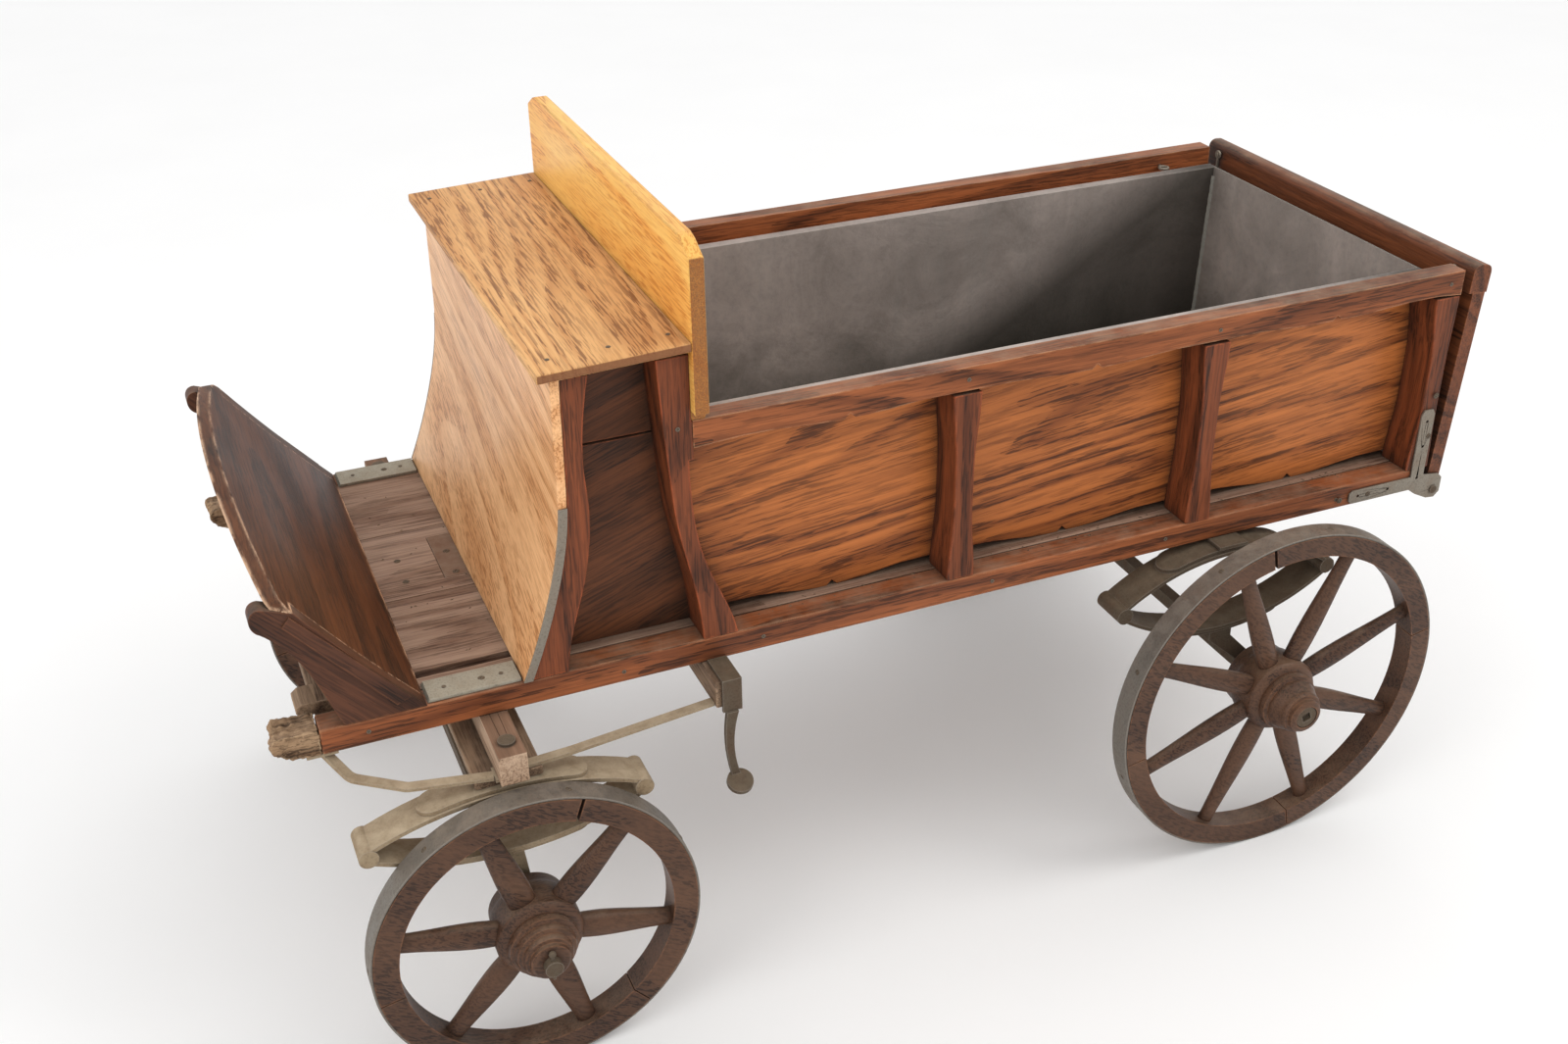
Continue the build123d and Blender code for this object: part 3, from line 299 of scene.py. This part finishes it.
VARNISH = dict(light=srgb(212, 128, 66), mid=srgb(172, 95, 48), dark=srgb(112, 60, 32), pore=srgb(58, 32, 19))
GOLD = dict(light=srgb(255, 208, 142), mid=srgb(236, 178, 114), dark=srgb(180, 118, 66), pore=srgb(116, 72,
        40))
BRIGHT = dict(light=srgb(255, 218, 128), mid=srgb(255, 194, 98), dark=srgb(232, 154, 66), pore=srgb(198,
        122, 48))
BARE = dict(light=srgb(186, 158, 138), mid=srgb(158, 126, 106), dark=srgb(118, 86, 68), pore=srgb(78, 54, 42))
DARK = dict(light=srgb(109, 64, 36), mid=srgb(85, 48, 27), dark=srgb(59, 32, 18), pore=srgb(33, 19, 12))
WHEEL = dict(light=srgb(112, 80, 58), mid=srgb(82, 56, 42), dark=srgb(60, 41, 32), pore=srgb(38, 27, 21))
UPRIGHT = (0, 90, 0)
ACROSS = (0, 0, 90)
PEACH = srgb(230, 190, 156)
ORANGE = srgb(198, 104, 58)


def build_materials():
    """Every material of the wagon by a short name."""
    return {
        "panel": wood("oak_panel", **VARNISH, figure=15, contrast=0.8, dust=0.3, worn=ORANGE, gloss=0.34,
        turn=(0, -6, 0)),
        "frame": wood("oak_frame", light=srgb(171, 99, 57), mid=srgb(136, 75, 43), dark=srgb(94, 50, 29),
                      pore=srgb(54, 31, 18), figure=10, dust=0.45, worn=srgb(212, 158, 116), wear=0.7),
        "post": wood("oak_post", light=srgb(141, 75, 43), mid=srgb(109, 57, 33), dark=srgb(74, 39, 24),
                     pore=srgb(42, 25, 15), turn=UPRIGHT, figure=10, worn=srgb(202, 98, 54), wear=0.95),
        "under_seat": wood("oak_under_seat", light=srgb(116, 67, 38), mid=srgb(88, 51, 31), dark=srgb(61,
        36, 22),
                           pore=srgb(37, 23, 15), figure=10, dust=0.3, worn=ORANGE, wear=0.5, turn=(0, -20,
                           0)),
        "riser": wood("oak_riser", light=srgb(255, 208, 156), mid=srgb(240, 184, 130), dark=srgb(200, 138,
        86),
                      pore=srgb(166, 108, 62), turn=(14, 0, 90), figure=8, worn=PEACH, dust=0.1, gloss=0.3,
                      corner_shade_amount=0.5, contrast=0.55),
        "seat": wood("oak_seat", **GOLD, turn=ACROSS, figure=18, worn=srgb(110, 66, 38), wear=0.7, dust=0.1,
                     contrast=0.5, ends=srgb(122, 76, 50),
                     corner_shade_amount=0.5),
        "seat_back": wood("oak_seat_back", **BRIGHT, turn=ACROSS, figure=6, worn=srgb(92, 52, 30), wear=0.9,
        contrast=0.6, ends=srgb(104, 60, 40),
                          dust=0.05, gloss=0.32, corner_shade_amount=0.4),
        "dash": wood("dash_wood", **DARK, turn=ACROSS, figure=9, worn=PEACH, wear=0.95, dust=0.08,
        edge_size=0.0042),
        "bracket": wood("bracket_wood", light=srgb(101, 61, 41), mid=srgb(76, 45, 31), dark=srgb(52, 31, 22),
                        pore=srgb(32, 20, 15), figure=8, worn=srgb(150, 94, 60), turn=(0, 48, 0)),
        "nose": wood("worm_eaten_wood", light=srgb(190, 158, 124), mid=srgb(150, 116, 86), dark=srgb(90, 62,
        42),
                     pore=srgb(40, 28, 20), figure=8, worn=srgb(206, 176, 140), wear=0.6, dust=0.4,
                     gloss=0.75),
        "boards": wood("floor_boards", **BARE, figure=10, worn=srgb(190, 158, 132), dust=0.3, gloss=0.55),
        "under": wood("under_wood", light=srgb(172, 144, 116), mid=srgb(134, 106, 84), dark=srgb(94, 72, 56),
                      pore=srgb(58, 43, 33), turn=ACROSS, figure=9, worn=srgb(214, 182, 152), wear=0.7,
                      dust=0.4,
                      gloss=0.62),
        "bolster": wood("bolster_wood", light=srgb(200, 172, 146), mid=srgb(178, 148, 122), dark=srgb(140,
        110, 86),
                        pore=srgb(90, 68, 52), turn=ACROSS, figure=5, worn=srgb(206, 176, 148), dust=0.1,
                        gloss=0.6, top=srgb(134, 98, 76)),
        "wheel": wood("wheel_wood", **WHEEL, turn=(20, 35, 0), figure=3, stretch=0.4, worn=srgb(160, 108,
        74), wear=0.6,
                      dust=0.3, gloss=0.36, contrast=0.45),
        "tailgate": wood("tailgate_wood", light=srgb(133, 76, 46), mid=srgb(101, 57, 36), dark=srgb(68, 39,
        26),
                         pore=srgb(40, 25, 17), turn=ACROSS, figure=9, worn=srgb(190, 118, 76), dust=0.4,
                         gloss=0.34),
        "iron": iron("strap_iron", srgb(142, 134, 122), srgb(112, 88, 66), srgb(170, 154, 134)),
        "foot_iron": iron("foot_iron", srgb(164, 158, 142), srgb(128, 112, 90), srgb(176, 166, 148),
                          middle=srgb(122, 88, 68), metal=0.2, gloss=0.6),
        "tyre": iron("tyre_iron", srgb(126, 120, 112), srgb(92, 74, 60), srgb(158, 142, 124), gloss=0.42,
        dust=0.5),
        "dusty": iron("dusty_iron", srgb(158, 140, 114), srgb(128, 102, 74), srgb(196, 178, 152), gloss=0.7,
                      rust_amount=0.5, dust=0.8, metal=0.15),
        "dark_iron": iron("dark_iron", srgb(92, 80, 66), srgb(84, 62, 46), srgb(132, 116, 96), gloss=0.62,
                          rust_amount=0.6, dust=0.5, metal=0.3),
        "zinc": zinc("zinc_sheet"),
        "solder": iron("solder_metal", srgb(168, 166, 158), srgb(120, 116, 104), srgb(150, 146, 136),
        gloss=0.45,
                       rust_amount=0.4, dust=0.2, metal=0.6, scale=120),
        "debris": wood("dry_debris", light=srgb(150, 128, 104), mid=srgb(110, 92, 74), dark=srgb(64, 52, 42),
                       pore=srgb(40, 32, 26), figure=6, dust=0.2, gloss=0.8),
    }


LOOKS = {
    "panel": ["side_boards"],
    "frame": ["sills", "top_rails"],
    "post": ["side_posts", "seat_posts"],
    "under_seat": ["seat_side_boards", "box_front_board"],
    "riser": ["seat_riser"],
    "seat": ["seat_board"],
    "seat_back": ["seat_back"],
    "dash": ["dash_board"],
    "bracket": ["dash_brackets"],
    "nose": ["sill_noses"],
    "boards": ["foot_boards", "box_floor"],
    "under": ["floor_bearers", "front_crosspiece", "shaft_bearers", "transom", "step_bar"],
    "bolster": ["front_bolster"],
    "wheel": [n for n in NODES if n.startswith("wheel_") and not n.endswith("_tyre")],
    "tailgate": ["tailgate_board", "tailgate_rail"],
    "foot_iron": ["foot_irons"],
    "iron": ["corner_irons", "riser_edgings", "rub_plate", "king_bolt", "hook_left", "hook_right",
             "hook_screws", "rail_eyes"],
    "tyre": [n for n in NODES if n.endswith("_tyre")],
    "dusty": ["front_springs", "stays", "front_spring_seats"],
    "dark_iron": ["rear_springs", "rear_bolster", "rear_spring_seats", "step_irons", "front_axle",
    "rear_axle",
                  "linchpins", "body_fasteners"],
    "zinc": ["zinc_liner"],
}
ROUNDING = {"panel": 0.0008, "frame": 0.0016, "post": 0.0016, "under_seat": 0.001, "riser": 0.0012,
        "seat": 0.0018,
            "seat_back": 0.0022, "dash": 0.002, "bracket": 0.002, "nose": 0.002, "boards": 0.001,
            "bolster": 0.0004, "under": 0.0016, "wheel": 0.0012,
            "tailgate": 0.0014, "iron": 0.0004, "foot_iron": 0.0004, "tyre": 0.0005, "dusty": 0.0006,
            "dark_iron": 0.0006, "zinc": 0.0003}


def dress(materials):
    """Give each CAD node its material, rounded edges and smooth shading."""
    for look, names in LOOKS.items():
        for name in names:
            piece = NODES[name]
            piece.data.materials.clear()
            piece.data.materials.append(materials[look])
            attribute = piece.data.attributes.get("custom_normal")
            if attribute:
                piece.data.attributes.remove(attribute)
            piece.data.polygons.foreach_set("use_smooth", [True] * len(piece.data.polygons))
            weld = piece.modifiers.new("weld", "WELD")
            weld.merge_threshold = 0.00001
            bevel = piece.modifiers.new("bevel", "BEVEL")
            bevel.width = ROUNDING[look]
            bevel.segments = 2
            bevel.limit_method = "ANGLE"
            bevel.angle_limit = math.radians(38)
            shade = piece.modifiers.new("normals", "WEIGHTED_NORMAL")
            shade.keep_sharp = True


# ---------------------------------------------------------------- detail pieces
def piece(name, verts, faces, material, body, slot):
    """Mesh object that moves with a body."""
    mesh = bpy.data.meshes.new(name)
    mesh.from_pydata(verts, [], faces)
    mesh.materials.append(material)
    mesh.polygons.foreach_set("use_smooth", [True] * len(mesh.polygons))
    thing = bpy.data.objects.new(name, mesh)
    bpy.context.scene.collection.objects.link(thing)
    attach(thing, body)
    return thing


def half_dome(radius, height, gap, side):
    """Points and faces of half a slotted screw head, its slot wall included, along +Z."""
    rows, columns = 9, 6
    verts, faces = [], []
    for r in range(rows):
        v = radius * 0.985 * (2 * r / (rows - 1) - 1)
        reach = math.sqrt(max(radius ** 2 - v ** 2, (gap * 1.1) ** 2))
        verts.append((side * gap, v, -0.0002))
        for c in range(columns):
            u = gap + (reach - gap) * c / (columns - 1)
            verts.append((side * u, v, height * max(0.0, 1 - (u * u + v * v) / radius ** 2) ** 0.6 - 0.0001))
    width = columns + 1
    for r in range(rows - 1):
        for c in range(width - 1):
            a = r * width + c
            face = (a, a + 1, a + 1 + width, a + width)
            faces.append(face if side > 0 else face[::-1])
    return verts, faces


def screws(name, places, radius, height, material, body, slot, seed):
    """Slotted screw heads at (place, outward normal), each slot at its own angle."""
    chance = random.Random(seed)
    verts, faces = [], []
    for place, normal in places:
        turn = normal.to_track_quat("Z", "Y").to_matrix()
        spin = Matrix.Rotation(chance.uniform(0, math.pi), 3, "Z")
        for side in (1, -1):
            points, quads = half_dome(radius, height, radius * 0.13, side)
            base = len(verts)
            verts += [tuple(place + turn @ (spin @ Vector(p))) for p in points]
            faces += [tuple(base + i for i in q) for q in quads]
    return piece(name, verts, faces, material, body, slot)


def tyre_screws(materials):
    """Small screws that hold each iron tyre to its felloes."""
    for end, count in (("front", 7), ("rear", 9)):
        for side in ("left", "right"):
            low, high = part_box("wheel_" + end + "_" + side + "_tyre")
            centre = (low + high) / 2
            radius = (high.z - low.z) / 2
            places = []
            for k in range(count):
                angle = math.radians(90 + 360 * (k + 0.3) / count)
                out = Vector((math.cos(angle), 0, math.sin(angle)))
                places.append((centre + out * radius, out))
            screws("tyre_screws_" + end + "_" + side, places, 0.0029, 0.0007, materials["dark_iron"],
                   end + "_" + side + "_wheel", "iron_tyre", 11 + count)


def body_screws(materials):
    """Slotted screws on the corner irons, the foot irons and the floor's metal plate."""
    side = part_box("corner_irons")[1].y
    iron_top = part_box("foot_irons")[1].z
    flat = Vector((0, 0, 1))
    places = []
    for sign in (1, -1):
        out = Vector((0, sign, 0))
        for x, z in ((-0.556, 0.44), (-0.556, 0.395), (-0.49, 0.343), (-0.455, 0.343)):
            places.append((Vector((x, sign * side, z)), out))
        places.append((Vector((0.42, sign * FOOT_IRON_Y, iron_top)), flat))
    screws("iron_screws", places, 0.0032, 0.0009, materials["dark_iron"], "wagon_body", "iron_strap", 5)
    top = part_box("foot_boards")[1].z
    plate = [(Vector((x, y, top)), flat) for x, y in ((0.398, -0.02), (0.398, 0.02), (0.445, -0.02), (0.445,
            0.02))]
    screws("plate_screws", plate, 0.0035, 0.0008, materials["dark_iron"], "wagon_body", "iron_strap", 6)


def ribbon(points, widths, normal, lift):
    """Low bead along a line: a three-point arch at each station."""
    verts, faces = [], []
    for k, (point, width) in enumerate(zip(points, widths)):
        ahead = points[min(k + 1, len(points) - 1)] - points[max(k - 1, 0)]
        across = ahead.cross(normal).normalized() * width
        verts += [tuple(point - across), tuple(point + normal * lift), tuple(point + across)]
    for k in range(len(points) - 1):
        a = 3 * k
        faces += [(a, a + 1, a + 4, a + 3), (a + 1, a + 2, a + 5, a + 4)]
    return verts, faces


def solder_seams(materials):
    """Uneven solder beads in the zinc lining's rear corners."""
    low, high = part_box("zinc_liner")
    chance = random.Random(3)
    for side, name in ((1, "left"), (-1, "right")):
        points, widths = [], []
        for k in range(60):
            t = k / 59
            z = low.z + 0.004 + (high.z - low.z - 0.014) * t
            x = LINER_REAR_FOOT - LINER_REAR_SLOPE * t + BEAD
            points.append(Vector((x, side * (LINER_HALF - BEAD), z)))
            widths.append(BEAD + chance.uniform(-0.0008, 0.001))
        normal = Vector((1, -side, 0)).normalized()
        verts, faces = ribbon(points, widths, normal, 0.0012)
        piece("solder_seam_" + name, verts, faces, materials["solder"], "wagon_body", "zinc")


def debris(materials):
    """Dry crumbs and splinters in the lining, on the footwell floor and along the lower rail."""
    chance = random.Random(21)
    zones = [("liner_crumbs", (-0.535, 0.20), (-0.160, 0.160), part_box("zinc_liner")[0].z + 0.0016, 90,
            0.0022),
             ("footwell_crumbs", (0.385, 0.46), (-0.18, 0.16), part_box("foot_boards")[1].z, 26, 0.0012),
             ("sill_crumbs", (-0.50, 0.18), (0.1895, 0.2035), SILL_TOP, 70, 0.0012)]
    for name, xs, ys, z, count, size in zones:
        verts, faces = [], []
        for _ in range(count):
            centre = Vector((chance.uniform(*xs), chance.uniform(*ys), z))
            base = len(verts)
            turn = Matrix.Rotation(chance.uniform(0, math.tau), 3, "Z")
            long_way = size * chance.uniform(0.6, 2.2)
            for k in range(7):
                angle = math.tau * k / 7
                reach = chance.uniform(0.6, 1.1)
                flat = Vector((math.cos(angle) * long_way * reach, math.sin(angle) * size * 0.6 * reach, 0))
                verts.append(tuple(centre + turn @ flat))
            verts.append(tuple(centre + Vector((0, 0, size * chance.uniform(0.4, 0.9)))))
            faces += [(base + k, base + (k + 1) % 7, base + 7) for k in range(7)]
        piece(name, verts, faces, materials["debris"], "wagon_body", "wood_weathered")


def erode_noses():
    """Worm-eaten surface on the sills' nose blocks."""
    nose = NODES["sill_noses"]
    for key in ("bevel", "normals"):
        nose.modifiers.remove(nose.modifiers[key])
    remesh = nose.modifiers.new("grain", "REMESH")
    remesh.mode = "VOXEL"
    remesh.voxel_size = 0.0012
    remesh.use_smooth_shade = True
    pits = bpy.data.textures.new("worm_pits", "CLOUDS")
    pits.noise_scale = 0.006
    pits.noise_depth = 3
    lumps = bpy.data.textures.new("rot_lumps", "CLOUDS")
    lumps.noise_scale = 0.018
    for texture, strength, middle in ((lumps, 0.007, 0.62), (pits, 0.005, 0.62)):
        push = nose.modifiers.new("rot", "DISPLACE")
        push.texture = texture
        push.texture_coords = "LOCAL"
        push.strength = strength
        push.mid_level = middle


# ---------------------------------------------------------------- stage
def add_camera():
    """Camera at the reference viewing angle."""
    data = bpy.data.cameras.new("camera")
    camera = bpy.data.objects.new("camera", data)
    bpy.context.scene.collection.objects.link(camera)
    azimuth, elevation = math.radians(CAMERA_AZIMUTH), math.radians(CAMERA_ELEVATION)
    back = Vector((math.sin(azimuth) * math.cos(elevation), -math.cos(azimuth) * math.cos(elevation),
                   math.sin(elevation)))
    right = (-back).cross(Vector((0, 0, 1))).normalized()
    up = back.cross(right)
    turn = Matrix((right, up, back)).transposed().to_4x4()
    roll = Matrix.Rotation(math.radians(CAMERA_ROLL), 4, "Z")
    camera.matrix_world = Matrix.Translation(CAMERA_AT) @ turn @ roll
    data.lens = LENS
    data.sensor_width = 36
    data.clip_end = 60
    bpy.context.scene.camera = camera


def add_light(name, place, target, size, power, color=(1, 1, 1)):
    """Square soft light aimed at a point."""
    data = bpy.data.lights.new(name, "AREA")
    data.size = size
    data.energy = power
    data.color = color
    light = bpy.data.objects.new(name, data)
    bpy.context.scene.collection.objects.link(light)
    light.location = place
    light.rotation_euler = (Vector(target) - Vector(place)).to_track_quat("-Z", "Y").to_euler()


def add_stage():
    """Plain pale floor, soft sky light and studio lights."""
    mesh = bpy.data.meshes.new("floor")
    half = 14.0
    mesh.from_pydata([(-half, -half, 0), (half, -half, 0), (half, half, 0), (-half, half, 0)], [], [(0, 1,
            2, 3)])
    floor = bpy.data.objects.new("floor", mesh)
    bpy.context.scene.collection.objects.link(floor)
    s = Shader("floor_paper")
    grain = s.noise(s.coords, 3, 3)
    mesh.materials.append(s.finish(s.ramp(grain, (0.0, (0.93, 0.93, 0.93, 1)), (1.0, (0.97, 0.97, 0.97,
            1))), 0.9))
    world = bpy.data.worlds.new("sky")
    world.use_nodes = True
    world.node_tree.nodes["Background"].inputs["Color"].default_value = (1, 1, 1, 1)
    world.node_tree.nodes["Background"].inputs["Strength"].default_value = 0.98
    bpy.context.scene.world = world
    bpy.context.scene.view_settings.view_transform = "Standard"
    add_light("key", (-1.6, 1.1, 2.6), (-0.1, 0, 0.35), 1.3, 18, (1.0, 0.98, 0.95))
    add_light("front", (2.4, 1.2, 1.8), (0.2, 0, 0.4), 1.6, 16, (1.0, 0.98, 0.95))


add_camera()
add_stage()
MATERIALS = build_materials()
dress(MATERIALS)
erode_noses()
tyre_screws(MATERIALS)
body_screws(MATERIALS)
solder_seams(MATERIALS)
debris(MATERIALS)
